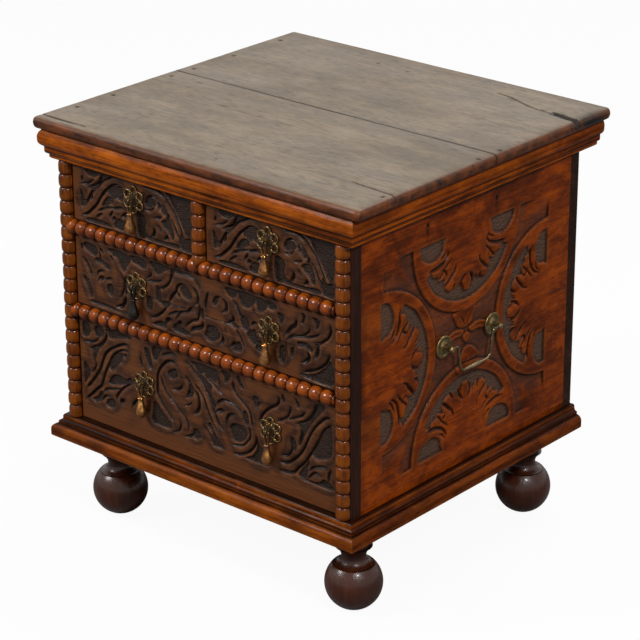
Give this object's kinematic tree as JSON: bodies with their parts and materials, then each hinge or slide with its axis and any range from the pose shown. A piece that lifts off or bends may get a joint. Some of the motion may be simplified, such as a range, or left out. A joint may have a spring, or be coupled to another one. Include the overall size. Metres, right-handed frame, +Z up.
{
  "type": "chest of drawers",
  "caption": "Small carved oak chest of drawers: short drawers over long ones, split-turned bead mouldings, brass drop pulls, side bail handles and turned ball feet.",
  "frame": {"origin": "on the floor, under the middle of the top", "axes": "+X to the right across the front, +Y from the front to the back, +Z up"},
  "size_m": [0.5, 0.466, 0.52],
  "materials": {
    "top_boards": "dry, worn oak with grey patches",
    "mouldings": "polished walnut, dark in the quirks",
    "turned_beads": "glossy turned walnut",
    "turned_feet": "glossy dark turned walnut",
    "carved_fronts": "dark carved oak, waxed",
    "carved_sides": "red-brown carved oak, waxed",
    "front_frame": "dark oak, waxed",
    "carcass_boards": "plain oak, unpolished",
    "drawer_linings": "plain oak, unpolished",
    "pull_brass": "aged cast brass",
    "drop_brass": "aged cast brass, coppery",
    "pin_wire": "drawn wire, dull",
    "handle_brass": "aged pressed brass",
    "bail_brass": "aged cast brass, rubbed bright"
  },
  "bodies": {
    "carcass": {"left_side_board": "carved_sides", "right_side_board": "carved_sides", "front_stiles": "front_frame", "drawer_rails": "front_frame", "top_rail": "front_frame", "bottom_rail": "front_frame", "back_boards": "carcass_boards", "bottom_board": "carcass_boards", "drawer_divider": "carcass_boards", "drawer_runners": "carcass_boards", "front_top_board": "top_boards", "rear_top_board": "top_boards", "front_cornice": "mouldings", "left_cornice": "mouldings", "right_cornice": "mouldings", "front_base_moulding": "mouldings", "left_base_moulding": "mouldings", "right_base_moulding": "mouldings", "stile_bead_strips": "turned_beads", "centre_bead_strip": "turned_beads", "upper_bead_strip": "turned_beads", "lower_bead_strip": "turned_beads", "front_left_foot": "turned_feet", "front_right_foot": "turned_feet", "rear_left_foot": "turned_feet", "rear_right_foot": "turned_feet", "side_handle_posts": "handle_brass", "side_handle_roses": "handle_brass"},
    "top_left_drawer": {"top_left_drawer_front": "carved_fronts", "top_left_drawer_sides": "drawer_linings", "top_left_drawer_back": "drawer_linings", "top_left_drawer_bottom": "drawer_linings", "top_left_drawer_rosettes": "pull_brass", "top_left_drawer_split_pins": "pin_wire"},
    "top_right_drawer": {"top_right_drawer_front": "carved_fronts", "top_right_drawer_sides": "drawer_linings", "top_right_drawer_back": "drawer_linings", "top_right_drawer_bottom": "drawer_linings", "top_right_drawer_rosettes": "pull_brass", "top_right_drawer_split_pins": "pin_wire"},
    "middle_drawer": {"middle_drawer_front": "carved_fronts", "middle_drawer_sides": "drawer_linings", "middle_drawer_back": "drawer_linings", "middle_drawer_bottom": "drawer_linings", "middle_drawer_rosettes": "pull_brass", "middle_drawer_split_pins": "pin_wire"},
    "bottom_drawer": {"bottom_drawer_front": "carved_fronts", "bottom_drawer_sides": "drawer_linings", "bottom_drawer_back": "drawer_linings", "bottom_drawer_bottom": "drawer_linings", "bottom_drawer_rosettes": "pull_brass", "bottom_drawer_split_pins": "pin_wire"},
    "top_left_drop": {"top_left_drop": "drop_brass"},
    "top_right_drop": {"top_right_drop": "drop_brass"},
    "middle_left_drop": {"middle_left_drop": "drop_brass"},
    "middle_right_drop": {"middle_right_drop": "drop_brass"},
    "bottom_left_drop": {"bottom_left_drop": "drop_brass"},
    "bottom_right_drop": {"bottom_right_drop": "drop_brass"},
    "left_bail": {"left_bail": "bail_brass"},
    "right_bail": {"right_bail": "bail_brass"}
  },
  "joints": [
    {"name": "top_left_drawer_slide", "type": "slide", "parent": "carcass", "child": "top_left_drawer", "axis": [0, -1, 0], "range_m": [0, 0.3]},
    {"name": "top_right_drawer_slide", "type": "slide", "parent": "carcass", "child": "top_right_drawer", "axis": [0, -1, 0], "range_m": [0, 0.3]},
    {"name": "middle_drawer_slide", "type": "slide", "parent": "carcass", "child": "middle_drawer", "axis": [0, -1, 0], "range_m": [0, 0.3]},
    {"name": "bottom_drawer_slide", "type": "slide", "parent": "carcass", "child": "bottom_drawer", "axis": [0, -1, 0], "range_m": [0, 0.3]},
    {"name": "top_left_drop_hinge", "type": "hinge", "parent": "top_left_drawer", "child": "top_left_drop", "pos_m": [-0.10205, -0.222, 0.44595], "axis": [-1, 0, 0], "range_deg": [-2, 110]},
    {"name": "top_right_drop_hinge", "type": "hinge", "parent": "top_right_drawer", "child": "top_right_drop", "pos_m": [0.10505, -0.222, 0.44595], "axis": [-1, 0, 0], "range_deg": [-2, 110]},
    {"name": "middle_left_drop_hinge", "type": "hinge", "parent": "middle_drawer", "child": "middle_left_drop", "pos_m": [-0.1015, -0.222, 0.33945], "axis": [-1, 0, 0], "range_deg": [-2, 110]},
    {"name": "middle_right_drop_hinge", "type": "hinge", "parent": "middle_drawer", "child": "middle_right_drop", "pos_m": [0.105, -0.222, 0.33945], "axis": [-1, 0, 0], "range_deg": [-2, 110]},
    {"name": "bottom_left_drop_hinge", "type": "hinge", "parent": "bottom_drawer", "child": "bottom_left_drop", "pos_m": [-0.094, -0.222, 0.21615], "axis": [-1, 0, 0], "range_deg": [-2, 110]},
    {"name": "bottom_right_drop_hinge", "type": "hinge", "parent": "bottom_drawer", "child": "bottom_right_drop", "pos_m": [0.106, -0.222, 0.21615], "axis": [-1, 0, 0], "range_deg": [-2, 110]},
    {"name": "left_bail_hinge", "type": "hinge", "parent": "carcass", "child": "left_bail", "pos_m": [-0.2355, -0.005, 0.298], "axis": [0, 1, 0], "range_deg": [-15, 180]},
    {"name": "right_bail_hinge", "type": "hinge", "parent": "carcass", "child": "right_bail", "pos_m": [0.2355, -0.005, 0.298], "axis": [0, -1, 0], "range_deg": [-15, 180]}
  ]
}
